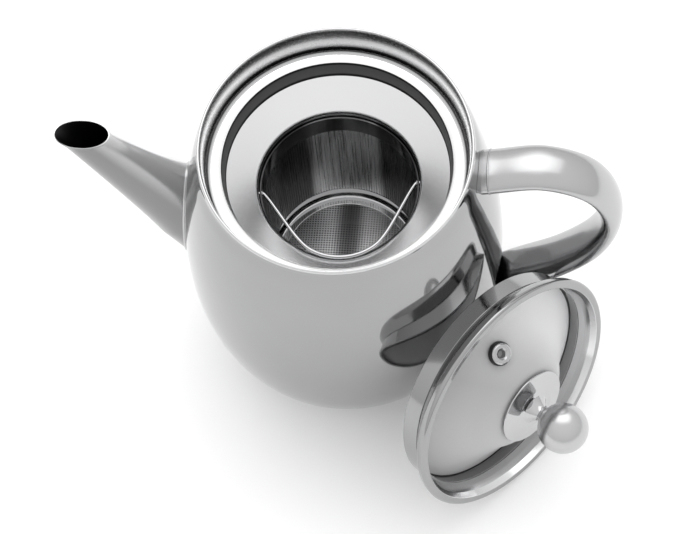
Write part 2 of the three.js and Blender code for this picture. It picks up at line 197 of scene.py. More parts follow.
# ---- meshes ----
def piece(name, verts, faces, body, slot, material, node=None, sharp=35, place=None, even=True):
    """One finished piece: closed mesh in metres, smooth shaded, riding on a body."""
    mesh = bpy.data.meshes.new(name)
    mesh.from_pydata([tuple(Vector(v) * MM) for v in verts], [], faces)
    if place is not None:
        mesh.transform(place)
    work = bmesh.new()
    work.from_mesh(mesh)
    bmesh.ops.remove_doubles(work, verts=work.verts, dist=1e-7)
    bmesh.ops.recalc_face_normals(work, faces=work.faces)
    work.to_mesh(mesh)
    work.free()
    mesh.polygons.foreach_set("use_smooth", [True] * len(mesh.polygons))
    mesh.set_sharp_from_angle(angle=math.radians(sharp))
    obj = bpy.data.objects.new(name, mesh)
    bpy.context.scene.collection.objects.link(obj)
    if even:
        obj.modifiers.new("even shading", "WEIGHTED_NORMAL").keep_sharp = True
    mesh.materials.append(material)
    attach(obj, body)
    if node:
        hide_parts(*([node] if isinstance(node, str) else node))
    return obj


def turned(outline, sides=192):
    """Vertices and faces of a turned solid about Z. The outline closes on itself or ends on the axis."""
    on_axis = outline[0][0] == 0 and outline[-1][0] == 0
    verts, rows = [], []
    for r, z in outline:
        if r == 0:
            rows.append([len(verts)] * sides)
            verts.append((0, 0, z))
        else:
            rows.append(list(range(len(verts), len(verts) + sides)))
            verts += [
                (r * math.cos(2 * math.pi * k / sides), r * math.sin(2 * math.pi * k / sides), z)
                for k in range(sides)
            ]
    faces = []
    for i in range(len(rows) - (1 if on_axis else 0)):
        a, b = rows[i], rows[(i + 1) % len(rows)]
        for k in range(sides):
            m = (k + 1) % sides
            ring = [a[k], a[m], b[m], b[k]]
            faces.append(list(dict.fromkeys(ring)))
    return verts, faces


def skinned(rings, loop=True):
    """Vertices and faces over rings of points: loop joins last to first, else both ends are capped."""
    n = len(rings[0])
    verts = [tuple(p) for ring in rings for p in ring]
    faces = []
    for i in range(len(rings) - (0 if loop else 1)):
        j = (i + 1) % len(rings)
        faces += [(i * n + k, i * n + (k + 1) % n, j * n + (k + 1) % n, j * n + k) for k in range(n)]
    if not loop:
        faces += [tuple(range(n)), tuple(range((len(rings) - 1) * n, len(rings) * n))]
    return verts, faces


def round_points(centre, side, over, half, sides):
    """Points round an oval whose two half sizes lie along side and over."""
    turns = (2 * math.pi * k / sides for k in range(sides))
    return [centre + side * (half[0] * math.cos(a)) + over * (half[1] * math.sin(a)) for a in turns]


def swept(line, half, sides=48, up=Vector((0, 1, 0))):
    """Rings of an oval section along a line. up is the direction of the section's first half size."""
    rings = []
    last = len(line) - 1
    for i, p in enumerate(line):
        along = (Vector(line[min(i + 1, last)]) - Vector(line[max(i - 1, 0)])).normalized()
        side = (up - along * up.dot(along)).normalized()
        rings.append(round_points(Vector(p), side, along.cross(side), half, sides))
    return rings


# ---- materials ----
# Tones that change by place stand in for the reflections of the photographer's room.
def nodes_of(name):
    """A new material, its node tree and its shader."""
    material = bpy.data.materials.new(name)
    material.use_nodes = True
    tree = material.node_tree
    return material, tree, tree.nodes["Principled BSDF"]


def noise(tree, scale, detail=3.0, stretch=(1, 1, 1)):
    """A noise texture in the shared frame, with scale in waves per metre."""
    coords = tree.nodes.new("ShaderNodeTexCoord")
    mapping = tree.nodes.new("ShaderNodeMapping")
    mapping.inputs["Scale"].default_value = stretch
    texture = tree.nodes.new("ShaderNodeTexNoise")
    texture.inputs["Scale"].default_value = scale
    texture.inputs["Detail"].default_value = detail
    tree.links.new(coords.outputs["Object"], mapping.inputs["Vector"])
    tree.links.new(mapping.outputs["Vector"], texture.inputs["Vector"])
    return texture.outputs["Fac"]


def mapped(tree, value, lowest, highest, start=0.0, end=1.0):
    """A value that runs from lowest to highest, brought to run from start to end."""
    node = tree.nodes.new("ShaderNodeMapRange")
    for name, level in (("From Min", lowest), ("From Max", highest), ("To Min", start), ("To Max", end)):
        node.inputs[name].default_value = level
    tree.links.new(value, node.inputs["Value"])
    return node.outputs["Result"]


def ranged(tree, texture, start, end):
    """A noise texture's middle range, brought to run from start to end."""
    return mapped(tree, texture, 0.3, 0.7, start, end)


def tinted(tree, value, dark, light):
    """Colours from dark to light over a noise texture's middle range."""
    node = tree.nodes.new("ShaderNodeValToRGB")
    node.color_ramp.elements[0].position = 0.3
    node.color_ramp.elements[1].position = 0.7
    node.color_ramp.elements[0].color = (*dark, 1)
    node.color_ramp.elements[1].color = (*light, 1)
    tree.links.new(value, node.inputs["Fac"])
    return node.outputs["Color"]


def bumped(tree, shader, height, strength, distance):
    node = tree.nodes.new("ShaderNodeBump")
    node.inputs["Strength"].default_value = strength
    node.inputs["Distance"].default_value = distance
    tree.links.new(height, node.inputs["Height"])
    tree.links.new(node.outputs["Normal"], shader.inputs["Normal"])


def coordinate(tree, axis):
    """One coordinate in the shared frame, in metres."""
    coords = tree.nodes.new("ShaderNodeTexCoord")
    split = tree.nodes.new("ShaderNodeSeparateXYZ")
    tree.links.new(coords.outputs["Object"], split.inputs["Vector"])
    return split.outputs[axis]


def worked_out(tree, kind, operation, values):
    """The outputs of a math node. Each value is a constant or another node's output."""
    node = tree.nodes.new(kind)
    node.operation = operation
    for socket, value in zip(node.inputs, values):
        if isinstance(value, bpy.types.NodeSocket):
            tree.links.new(value, socket)
        else:
            socket.default_value = value
    return node.outputs


def number(tree, operation, *values):
    return worked_out(tree, "ShaderNodeMath", operation, values)["Value"]


def vector(tree, operation, *values):
    return worked_out(tree, "ShaderNodeVectorMath", operation, values)


def graded(tree, value, lowest, highest, stops, blue=1.008):
    """Grey tones (position, level) over a value that runs from lowest to highest."""
    ramp = tree.nodes.new("ShaderNodeValToRGB")
    for k, (at, level) in enumerate(stops):
        stop = ramp.color_ramp.elements[k] if k < 2 else ramp.color_ramp.elements.new(at)
        stop.position = at
        stop.color = (level, level, level * blue, 1)
    tree.links.new(mapped(tree, value, lowest, highest), ramp.inputs["Fac"])
    return ramp.outputs["Color"]


def grained(tree, shader, smoothest, roughest, depth=0.00001):
    """A fine polishing grain that varies the gloss and lifts the surface a little."""
    fine = noise(tree, 900, 4)
    tree.links.new(ranged(tree, fine, smoothest, roughest), shader.inputs["Roughness"])
    bumped(tree, shader, fine, 0.05, depth)


def metal(name, share=1.0):
    material, tree, shader = nodes_of(name)
    shader.inputs["Metallic"].default_value = share
    return material, tree, shader


def steel(name, shade, rough, grain_depth=0.00001):
    """Stainless steel, a little uneven in tone and gloss."""
    material, tree, shader = metal(name)
    darker = tuple(c * 0.98 for c in shade)
    tree.links.new(tinted(tree, noise(tree, 22, 2), darker, shade), shader.inputs["Base Color"])
    grained(tree, shader, rough * 0.93, rough * 1.07, grain_depth)
    return material


def spout_steel():
    """Soft polish, with a painted reflection: darker along the near flank than on top."""
    material, tree, shader = metal("spout_steel", 0.75)
    growth = (SPOUT_HALF_ROOT[0] - SPOUT_HALF_TIP[0]) / (SPOUT_ROOT.x - SPOUT_TIP.x)
    at_origin = (SPOUT_HALF_TIP[0] - growth * SPOUT_TIP.x) * MM
    half_width = number(tree, "MULTIPLY_ADD", coordinate(tree, "X"), growth, at_origin)
    across = number(tree, "DIVIDE", coordinate(tree, "Y"), half_width)
    # painted reflection: dark on the near flank, light along the crest, a little darker again on the far
    # side
    near_flank_painted_reflection = [(0.0, 0.24), (0.1, 0.24), (0.22, 0.42), (0.4, 0.56)]
    far_flank_painted_reflection = [(0.6, 0.82), (0.78, 0.75), (0.92, 0.5), (1.0, 0.46)]
    tone = graded(tree, across, -1, 1, near_flank_painted_reflection + far_flank_painted_reflection)
    tree.links.new(tone, shader.inputs["Base Color"])
    grained(tree, shader, 0.18, 0.2)
    return material


def neck_steel():
    """Satin neck with painted shade: dark in the narrow gap round the infuser's rim, lighter towards the
    top.
    """
    material, tree, shader = metal("neck_steel")
    depth = RIM_Z - INFUSER_RIM_Z
    # painted shade: near black where the neck meets the infuser's rim, lighter above
    stops = [(0.0, 0.06), (0.2 / depth, 0.1), (0.8 / depth, 0.48), (0.5, 0.58), (1.0, 0.62)]
    tone = graded(tree, coordinate(tree, "Z"), INFUSER_RIM_Z * MM, RIM_Z * MM, stops)
    tree.links.new(tone, shader.inputs["Base Color"])
    grained(tree, shader, 0.24, 0.28)
    return material


def body_steel():
    """Polished outside; the inside of the pot has a duller finish and a near black painted shade."""
    material, tree, shader = metal("body_steel")
    coords = tree.nodes.new("ShaderNodeTexCoord").outputs
    level = vector(tree, "MULTIPLY", coords["Object"], (1, 1, 0))["Vector"]
    outwards = vector(tree, "NORMALIZE", level)["Vector"]
    facing = vector(tree, "DOT_PRODUCT", outwards, coords["Normal"])["Value"]
    inside, outside = -0.3, 0.1
    colours = tree.nodes.new("ShaderNodeMix")
    colours.data_type = "RGBA"
    # painted shade: the inside of the pot is coloured near black
    colours.inputs[6].default_value = (0.07, 0.07, 0.072, 1)
    cloud = tinted(tree, noise(tree, 18, 2), (0.33, 0.33, 0.333), (0.35, 0.35, 0.353))
    tree.links.new(mapped(tree, facing, inside, outside), colours.inputs[0])
    tree.links.new(cloud, colours.inputs[7])
    tree.links.new(colours.outputs[2], shader.inputs["Base Color"])
    tree.links.new(mapped(tree, facing, inside, outside, 0.4, 0.06), shader.inputs["Roughness"])
    bumped(tree, shader, noise(tree, 900, 4), 0.12, 0.00001)
    return material


def basket_steel(name, dark, light, rough):
    """Basket steel: fine vertical draw lines, with a painted reflection that is lighter along the middle and
    dark at the two sides.
    """
    material, tree, shader = metal(name)
    lines = noise(tree, 900, 2, (1, 1, 0.03))
    cloud = ranged(tree, noise(tree, 48, 1, (1, 1, 0.25)), -1.0, 1.0)
    across = number(tree, "ABSOLUTE", coordinate(tree, "X"))
    side = number(tree, "MULTIPLY_ADD", cloud, 3 * MM, across)
    # painted reflection: light along the middle, dark towards the two sides
    stops = [(0.0, 0.8), (0.44, 1.0), (0.54, 0.12), (0.8, 0.04), (0.93, 0.3)]
    painted_reflection_zones = graded(tree, side, 0.0, BASKET_R * MM, stops)
    blend = number(tree, "MULTIPLY", ranged(tree, lines, 0.55, 1.0), painted_reflection_zones)
    tree.links.new(graded(tree, blend, 0.0, 1.0, [(0.0, dark), (1.0, light)]), shader.inputs["Base Color"])
    tree.links.new(ranged(tree, lines, rough * 0.7, rough * 1.3), shader.inputs["Roughness"])
    return material


def sieve_steel():
    """Floor mesh: light wire with a painted dark reflection streaking through the middle."""
    material, tree, shader = metal("sieve_steel")
    across = number(tree, "ABSOLUTE", coordinate(tree, "X"))
    # painted reflection: a dark streak along the middle of the floor mesh
    stops = [(0.0, 0.16), (0.12, 0.25), (0.3, 0.9), (0.7, 1.0), (1.0, 0.7)]
    tree.links.new(graded(tree, across, 0.0, 24 * MM, stops), shader.inputs["Base Color"])
    shader.inputs["Roughness"].default_value = 0.42
    return material


def rubbed(tree, shader, rough, gloss):
    """The matt, slightly rough surface of silicone. Gives back its fine noise."""
    fine = noise(tree, 1400, 5)
    tree.links.new(ranged(tree, fine, rough * 0.9, rough * 1.1), shader.inputs["Roughness"])
    shader.inputs["Specular IOR Level"].default_value = gloss
    bumped(tree, shader, fine, 0.2, 0.00003)
    return fine


def silicone(name, shade, rough):
    material, tree, shader = nodes_of(name)
    fine = rubbed(tree, shader, rough, 0.35)
    tree.links.new(tinted(tree, fine, tuple(c * 0.85 for c in shade), shade), shader.inputs["Base Color"])
    return material


def sleeve_silicone():
    """The grey seal, with painted shade: dark in the narrow gaps along its two edges."""
    material, tree, shader = nodes_of("sleeve_silicone")
    edge = 0.8 / (SEAL_HIGH - SEAL_LOW)
    # painted shade: near black at the seal's lower and upper edges
    below = [(0.0, 0.004), (edge, 0.01), (edge * 1.5, 0.1)]
    above = [(1 - edge * 1.5, 0.08), (1 - edge, 0.01), (1.0, 0.004)]
    tone = graded(tree, coordinate(tree, "Z"), SEAL_LOW * MM, SEAL_HIGH * MM, below + above)
    tree.links.new(tone, shader.inputs["Base Color"])
    rubbed(tree, shader, 0.5, 0.3)
    return material


def lid_glass_material():
    """Glass coloured with painted soft reflections of a bright room, so that little shows through it."""
    material, tree, shader = nodes_of("lid_glass")
    # painted reflections: grey that changes along Y, lightest on the side towards the pot
    stops = [(0.0, 0.53), (0.2, 0.5), (0.4, 0.43), (0.57, 0.5), (0.79, 0.74), (1.0, 0.88)]
    tone = graded(tree, coordinate(tree, "Y"), -90 * MM, -20 * MM, stops)
    tree.links.new(tone, shader.inputs["Base Color"])
    tree.links.new(ranged(tree, noise(tree, 30, 3), 0.5, 0.56), shader.inputs["Roughness"])
    shader.inputs["Transmission Weight"].default_value = 0.08
    shader.inputs["Metallic"].default_value = 0.0
    shader.inputs["IOR"].default_value = 1.5
    shader.inputs["Specular IOR Level"].default_value = 0.3
    shader.inputs["Coat Weight"].default_value = 0.15
    shader.inputs["Coat Roughness"].default_value = 0.15
    return material


POLISHED = steel("polished_steel", (0.5, 0.5, 0.505), 0.06)
BODY = body_steel()
NECK = neck_steel()
SOFT = steel("soft_polish_steel", (0.46, 0.46, 0.465), 0.19)
KNOB = steel("knob_steel", (0.5, 0.5, 0.505), 0.25)
TURNED = steel("turned_steel", (0.97, 0.97, 0.97), 0.16)
SATIN = steel("satin_steel", (0.76, 0.76, 0.77), 0.2)
FUNNEL = steel("funnel_steel", (0.75, 0.75, 0.755), 0.22, grain_depth=0.000002)
BEZEL = steel("bezel_steel", (0.35, 0.35, 0.353), 0.12)
# painted highlight: a lighter copy of the bezel steel for the ring's inner wall
BEZEL_INNER_HIGHLIGHT = steel("bezel_inner_painted_highlight", (0.68, 0.68, 0.685), 0.14)
SPOUT = spout_steel()
# painted shade: near black steel for the inside of the spout
INSIDE = steel("inner_steel", (0.05, 0.05, 0.052), 0.4)
MESH = basket_steel("mesh_steel", 0.004, 1.0, 0.3)
BAND = basket_steel("band_steel", 0.01, 0.14, 0.1)
SIEVE = sieve_steel()
SEAL = silicone("grey_silicone", (0.085, 0.085, 0.09), 0.5)
SLEEVE = sleeve_silicone()
BLACK = silicone("black_silicone", (0.012, 0.012, 0.013), 0.45)
GLASS = lid_glass_material()


# ---- pot ----
def body_outline(offset=0.0, per_span=12):
    """The belly's curve as (r, z), moved outwards by offset."""
    line = catmull(BODY_OUTLINE, per_span)
    out = []
    for i, p in enumerate(line):
        along = line[min(i + 1, len(line) - 1)] - line[max(i - 1, 0)]
        along = along / np.hypot(*along)
        out.append((float(p[0] + along[1] * offset), float(p[1] - along[0] * offset)))
    return out


WALL_LINE = body_outline(-HAIR)


def body_radius(z):
    """The radius of the body's outside at height z."""
    return float(np.interp(z, [p[1] for p in WALL_LINE], [p[0] for p in WALL_LINE]))


def to_body(start, direction, depth=0.0):
    """The point along direction from start, which is outside, where the body's wall is reached."""
    near, far = 0.0, 45.0
    for _ in range(40):
        middle = (near + far) / 2
        p = start + direction * middle
        if math.hypot(p.x, p.y) > body_radius(p.z) - depth:
            near = middle
        else:
            far = middle
    return start + direction * far


def spout_point(angle, t, grow=0.0):
    """A point on the spout's oval cone: t is 0 at the root and 1 at the tip's centre."""
    along = (SPOUT_TIP - SPOUT_ROOT).normalized()
    across = Vector((0, 1, 0))
    depth = along.cross(across).normalized()
    share = min(t, 1) ** 0.86 if t > 0 else t * 0.6
    half = [a + (b - a) * share + grow for a, b in zip(SPOUT_HALF_ROOT, SPOUT_HALF_TIP)]
    return (
        SPOUT_ROOT.lerp(SPOUT_TIP, t)
        + across * (half[0] * math.cos(angle)) + depth * (half[1] * math.sin(angle))
    )


def beyond_wall(clearance):
    """A test for points that lie outside the body's wall by more than clearance."""
    return lambda p: math.hypot(p.x, p.y) > body_radius(p.z) + clearance


def spout_cut(angle, inside, lowest, highest, grow=0.0):
    """Where the spout's line at this angle first satisfies inside(point)."""
    for _ in range(40):
        middle = (lowest + highest) / 2
        if inside(spout_point(angle, middle, grow)):
            highest = middle
        else:
            lowest = middle
    return highest


def spout_rings(grow):
    """Rings along the spout, from just inside the body's wall to the level cut at the mouth."""
    ends = []
    for k in range(SPOUT_SIDES):
        a = 2 * math.pi * k / SPOUT_SIDES
        start = spout_cut(a, beyond_wall(-0.4), -0.5, 0.6, grow)
        stop = spout_cut(a, lambda p: p.z > SPOUT_MOUTH_Z - 0.05, 0.5, 1.4, grow)
        ends.append((a, start, stop))
    return [
        [spout_point(a, s + (e - s) * i / SPOUT_ROWS, grow) for a, s, e in ends]
        for i in range(SPOUT_ROWS + 1)
    ]


def spout_bore():
    """A solid that fills the spout's bore and reaches through the body's wall."""
    rings = [
        [spout_point(2 * math.pi * k / SPOUT_SIDES, t, -SPOUT_WALL) for k in range(SPOUT_SIDES)]
        for t in (-0.32, 0.0, 0.3, 0.6)
    ]
    verts, faces = skinned(rings, loop=False)
    mesh = bpy.data.meshes.new("spout_bore")
    mesh.from_pydata([tuple(Vector(v) * MM) for v in verts], [], faces)
    work = bmesh.new()
    work.from_mesh(mesh)
    bmesh.ops.recalc_face_normals(work, faces=work.faces)
    work.to_mesh(mesh)
    work.free()
    bore = bpy.data.objects.new("spout_bore", mesh)
    bpy.context.scene.collection.objects.link(bore)
    return bore


def make_body():
    floor = BASE_T + 0.3
    foot = rounded([(BASE_R, floor, 0), (42.6, 3.2, 3), (*BODY_OUTLINE[0], 0)], False)[1:-1]
    outer = [(0, floor), (BASE_R - 4, floor), *foot]
    inner = [
        (max(r, body_radius(z) - NECK_BACKING) if z > LEDGE_Z else r, z)
        for r, z in body_outline(-SHELL_WALL)
    ][::-1]
    top = RIM_Z - 0.9
    under_bead = [(RIM_R - 0.02, top - 0.5), (RIM_R - 0.15, top), (RIM_R - 0.7, top)]
    inner_floor = [(BASE_R, floor + SHELL_WALL), (0, floor + SHELL_WALL)]
    outline = outer + WALL_LINE + under_bead + inner + inner_floor
    nodes = ["body_bottom", "body_lower_wall", "body_upper_wall"]
    body = piece("body_wall", *turned(outline, SIDES), "pot", "polished_steel", BODY, nodes, sharp=50)
    bore = spout_bore()
    cut = body.modifiers.new("spout opening", "BOOLEAN")
    cut.object = bore
    cut.solver = "EXACT"
    apply_modifier(body, cut)
    bpy.data.objects.remove(bore)


def apply_modifier(obj, modifier):
    """Leaves the modified shape in the object's own mesh."""
    others = [m for m in obj.modifiers if m != modifier]
    for m in others:
        m.show_viewport = m.show_render = False
    bpy.context.view_layer.update()
    graph = bpy.context.evaluated_depsgraph_get()
    made = bpy.data.meshes.new_from_object(obj.evaluated_get(graph))
    made.name = obj.data.name
    obj.modifiers.remove(modifier)
    obj.data = made
    for m in others:
        m.show_viewport = m.show_render = True


def make_base():
    edge = [(BASE_R - 0.8, 0, 0.6), (BASE_R, 0.8, 0.5), (BASE_R, BASE_T, 0.3)]
    outline = rounded([(0, 0, 0), *edge, (0, BASE_T, 0)], False)
    piece("base", *turned(outline), "pot", "satin_steel", SATIN, "base_disc")


def make_neck():
    bead = (RIM_R - NECK_R) / 2
    flare_z = RIM_Z - 6.5
    bore = NECK_R - 0.25
    inside = [(LEDGE_R, LEDGE_Z - 1, 0.3), (LEDGE_R, LEDGE_Z, 0.3), (bore, LEDGE_Z, 0.6)]
    flare = [
        (bore + (bead + 0.25) * (1 - math.cos(t)), flare_z + (RIM_Z - flare_z) * math.sin(t) ** 1.15)
        for t in (math.pi / 2 * k / 24 for k in range(25))
    ]
    roll = [
        (RIM_R - bead + bead * math.sin(t), RIM_Z - bead + bead * math.cos(t))
        for t in (math.radians(8 + 112 * k / 12) for k in range(13))
    ]
    outside = [(NECK_R + 0.4, RIM_Z - 2.2 * bead, 0.2), (NECK_R + 0.4, LEDGE_Z - 1, 0.3)]
    outline = rounded(inside, False) + flare + roll + rounded(outside, False)
    piece("neck", *turned(outline, SIDES), "pot", "polished_steel", NECK, "neck_collar", sharp=50)


def make_spout():
    outer = spout_rings(0)
    inner = [
        [p.lerp(q, 1 - 0.7 * (i / SPOUT_ROWS) ** 2) for p, q in zip(a, b)]
        for i, (a, b) in enumerate(zip(outer, spout_rings(-SPOUT_WALL)))
    ]
    lip = [(a + b) / 2 + Vector((0, 0, 0.03)) for a, b in zip(outer[-1], inner[-1])]
    rings = outer + [lip] + inner[::-1]
    tube = piece("spout_tube", *skinned(rings), "pot", "polished_steel", SPOUT, "spout", sharp=60)
    tube.data.materials.append(INSIDE)
    outside_faces = (len(outer) + 1) * SPOUT_SIDES
    for face in tube.data.polygons:
        face.material_index = int(face.index >= outside_faces)


def make_spout_seam():
    seam = []
    for k in range(SPOUT_SIDES):
        a = 2 * math.pi * k / SPOUT_SIDES
        seam.append(spout_point(a, spout_cut(a, beyond_wall(0.15), -0.5, 0.6)))
    bead = closed_tube(seam, 0.7, 12)
    piece("spout_seam", *bead, "pot", "polished_steel", SOFT, "spout_weld_ring", sharp=80)


def closed_tube(loop, radius, sides):
    """A round bead along a closed loop of points."""
    centre = sum(loop, Vector()) / len(loop)
    rings = []
    for i, p in enumerate(loop):
        along = (loop[(i + 1) % len(loop)] - loop[i - 1]).normalized()
        out = p - centre
        out = (out - along * out.dot(along)).normalized()
        rings.append(round_points(p, out, along.cross(out), (radius, radius), sides))
    return skinned(rings)


def grip_line(per_span=16):
    return [Vector((x, 0, z)) for x, z in catmull(GRIP_LINE, per_span, 0.25)]


def make_grip(line):
    rings = swept(line, GRIP_HALF, GRIP_SIDES)
    piece("handle_loop", *skinned(rings, loop=False), "pot", "polished_steel", SOFT, "handle_grip", sharp=60)


def make_socket(name, end, inwards, collar):
    """A short oval socket from the grip's end to the body. collar is a list of (shift, growth) rings."""
    across = Vector((0, 1, 0))
    over = inwards.cross(across)

    def ring(shift, growth):
        half = (GRIP_HALF[0] + growth, GRIP_HALF[1] + growth)
        return round_points(end + inwards * shift, across, over, half, GRIP_SIDES)

    foot = [to_body(p, inwards, 0.3) for p in ring(0.4, 0.0)]
    rings = [ring(*place) for place in collar] + [foot]
    piece(name, *skinned(rings, loop=False), "pot", "polished_steel", SOFT, name, sharp=50)


def make_handle():
    line = grip_line()
    make_grip(line)
    bead = [(-0.3, 0.02), (-0.2, 0.22), (0, 0.3), (0.2, 0.22), (0.35, 0.02)]
    flush = [(-0.02, -0.02), (0, 0.0)]
    make_socket("handle_top_socket", line[0], (line[0] - line[1]).normalized(), bead)
    make_socket("handle_lower_socket", line[-1], (line[-1] - line[-2]).normalized(), flush)


make_body()
make_base()
make_neck()
make_spout()
make_spout_seam()
make_handle()


# ---- infuser ----
def make_infuser_rim():
    """A crowned rim with two thin skirts under it, one on each side of the seal's groove."""
    low_z = LEDGE_Z + 0.3
    groove_top = FUNNEL_TOP - 1.3
    middle = (INFUSER_RIM_R + INFUSER_RIM_IN) / 2
    half = (INFUSER_RIM_R - INFUSER_RIM_IN) / 2
    crown = (half**2 + CROWN_RISE**2) / (2 * CROWN_RISE)
    edge = math.acos(half / crown)
    top = [
        (middle + crown * math.cos(a), INFUSER_RIM_Z - crown + crown * math.sin(a))
        for a in (edge + (math.pi - 2 * edge) * k / 20 for k in range(21))
    ]
    under = [
        (INFUSER_RIM_IN, low_z), (SLEEVE_R, low_z), (SLEEVE_R, groove_top),
        (SLEEVE_R + 1, groove_top), (SLEEVE_R + 1, low_z), (INFUSER_RIM_R, low_z),
    ]
    piece("infuser_top", *turned(top + under, SIDES), "infuser", "polished_steel", TURNED, "infuser_rim")


def make_seal():
    top, foot = SEAL_HIGH + 0.25, SEAL_LOW - 0.4
    seal = [(INFUSER_RIM_IN, top, 0.2), (SEAL_R, top, 0.2), (SEAL_R, foot, 0), (FUNNEL_R - 0.35, foot, 0)]
    piece("infuser_sleeve", *turned(rounded(seal), SIDES), "infuser", "seal", SLEEVE, "infuser_seal")


def make_funnel():
    """A 1 mm sheet: a flat flange, a cone and a lip that turns down into the basket."""
    slope_angle = math.atan2(FUNNEL_TOP - LIP_Z - LIP_R * 0.6, FUNNEL_R - HOLE_R)
    lip = HOLE_R + LIP_R
    turn = [math.radians(180 - (90 - math.degrees(slope_angle)) * k / 8) for k in range(9)]
    upper = [(lip + LIP_R * math.cos(a), LIP_Z + LIP_R * math.sin(a)) for a in turn]
    lower = [(lip + (LIP_R - 1) * math.cos(a), LIP_Z + (LIP_R - 1) * math.sin(a)) for a in turn[::-1]]
    flange = [
        (FUNNEL_R - 0.4, FUNNEL_TOP - 0.25), (FUNNEL_R, FUNNEL_TOP), (SEAL_R, FUNNEL_TOP),
        (SEAL_R, FUNNEL_TOP - 1), (FUNNEL_R + 0.3, FUNNEL_TOP - 1),
    ]
    outline = [*upper, *flange, *lower, (HOLE_R + 1, FUNNEL_LOW), (HOLE_R, FUNNEL_LOW)]
    mesh = turned(outline, SIDES)
    piece("funnel", *mesh, "infuser", "satin_steel", FUNNEL, "infuser_funnel", sharp=40)


def make_band():
    top, foot = BAND_HIGH - 1.8, BAND_LOW - 0.3
    inside = BASKET_R - 0.8
    band = [(inside, foot, 0.2), (BASKET_R, foot, 0.2), (BASKET_R, top, 0.2), (inside, top, 0.2)]
    mesh = turned(rounded(band), SIDES)
    piece("basket_collar", *mesh, "infuser", "polished_steel", BAND, "basket_band")


def make_eyelets():
    """The rolled edges of the two holes that the bail turns in."""
    axis = Vector((math.cos(BAIL_TURN), math.sin(BAIL_TURN), 0))
    side = Vector((-axis.y, axis.x, 0))
    for k, sign in enumerate((-1, 1)):
        centre = axis * (sign * (BASKET_R - 0.85)) + Vector((0, 0, BAIL_Z))
        hole = round_points(centre, side, Vector((0, 0, 1)), (1.1, 1.1), 24)
        mesh = closed_tube(hole, 0.25, 8)
        piece(f"bail_eyelet_{k + 1}", *mesh, "infuser", "polished_steel", POLISHED, sharp=80)


def perforated(columns, rows, point, hole=0.58, keep=None):
    """A sheet of square cells, each with a square hole. Without keep, the columns close into a wall.

    point(u, v, side) places a corner, with side 0 inside and 1 outside. keep(u, v) says which cells stay.
    """
    verts, faces, index = [], [], {}

    def vert(u, v, side):
        key = (round(u, 4), round(v, 4), side)
        if key not in index:
            index[key] = len(verts)
            verts.append(point(u, v, side))
        return index[key]

    near, far = (1 - hole) / 2, 1 - (1 - hole) / 2
    cell = ((0, 0), (1, 0), (1, 1), (0, 1))
    opening = ((near, near), (far, near), (far, far), (near, far))
    for i in range(columns):
        for j in range(rows):
            if keep and not keep(i + 0.5, j + 0.5):
                continue
            walls = []
            for side in (0, 1):
                outer = [vert((i + a) if keep else (i + a) % columns, j + b, side) for a, b in cell]
                inner = [vert(i + a, j + b, side) for a, b in opening]
                walls.append(inner)
                for k in range(4):
                    m = (k + 1) % 4
                    quad = [outer[k], outer[m], inner[m], inner[k]]
                    faces.append(quad if side else quad[::-1])
            below, above = walls
            faces += [[below[k], below[(k + 1) % 4], above[(k + 1) % 4], above[k]] for k in range(4)]
    return verts, faces


def make_mesh_wall():
    columns, rows = 168, 42
    wall_low, wall_high = BASKET_RING_TOP - 1.5, BAND_LOW + 1.0
    step = (wall_high - wall_low) / rows

    def on_wall(u, v, side):
        a = 2 * math.pi * u / columns
        r = BASKET_R - (0.35 if side else 0.75)
        return (r * math.cos(a), r * math.sin(a), wall_low + v * step)

    mesh = perforated(columns, rows, on_wall)
    piece("mesh_wall", *mesh, "infuser", "steel_mesh", MESH, "basket_mesh", sharp=30, even=False)


def make_mesh_floor():
    floor_r = high("basket_floor_mesh").x
    base = low("basket_floor_mesh").z + 0.2
    pitch = 1.1
    cells = int(2 * floor_r / pitch) + 2
    centre = cells / 2

    def on_floor(u, v, side):
        x, y = (u - centre) * pitch, (v - centre) * pitch
        dome = 2.0 * (1 - (x * x + y * y) / floor_r**2)
        return (x, y, base + dome + (0.35 if side else 0))

    def inside(u, v):
        return math.hypot(u - centre, v - centre) * pitch < floor_r - 0.65 * pitch

    mesh = perforated(cells, cells, on_floor, 0.6, inside)
    piece("mesh_floor", *mesh, "infuser", "steel_mesh", SIEVE, "basket_floor_mesh", sharp=30, even=False)


def make_basket_ring():
    inside, lip = BASKET_R - 0.9, high("basket_floor_mesh").x - 1.6
    sheet = BASKET_LOW + 1.1
    ring = [
        (BASKET_R, BASKET_RING_TOP, 0.4), (BASKET_R, BASKET_LOW, 2.2), (lip, BASKET_LOW, 0.3),
        (lip, sheet, 0.4), (inside, sheet, 1.4), (inside, BASKET_RING_TOP, 0.3),
    ]
    mesh = turned(rounded(ring), SIDES)
    piece("basket_base", *mesh, "infuser", "polished_steel", POLISHED, "basket_bottom_ring")


def make_bail():
    wall = BASKET_R - 0.4
    knee = (wall - 2, -1.6)
    loop_y = BAIL_LOOP_R - BAIL_REACH
    reach = math.hypot(knee[0], knee[1] - loop_y)
    touch = math.atan2(knee[1] - loop_y, knee[0]) - math.acos(BAIL_LOOP_R / reach)
    loop = []
    for i in range(7):
        a = -math.pi - touch + (2 * touch + math.pi) * i / 6
        loop.append((BAIL_LOOP_R * math.cos(a), loop_y + BAIL_LOOP_R * math.sin(a), 0))
    leg = [(wall + 2, 0, 0), (wall - 0.6, 0, 0), (*knee, 0)]
    points = [(-x, y, z) for x, y, z in leg] + loop + leg[::-1]
    rest = Matrix.Rotation(BAIL_TURN, 4, "Z") @ Matrix.Rotation(-BAIL_REST, 4, "X")
    line = [rest @ Vector(p) + Vector((0, 0, BAIL_Z)) for p in catmull(points, 14, 0.25)]
    up = rest @ Vector((0, 0, 1))
    rings = swept(line, (WIRE_R, WIRE_R), 16, up=up)
    piece("bail", *skinned(rings, loop=False), "bail", "polished_steel", POLISHED, "bail_wire", sharp=60)


make_infuser_rim()
make_seal()
make_funnel()
make_band()
make_eyelets()
make_mesh_wall()
make_mesh_floor()
make_basket_ring()
make_bail()


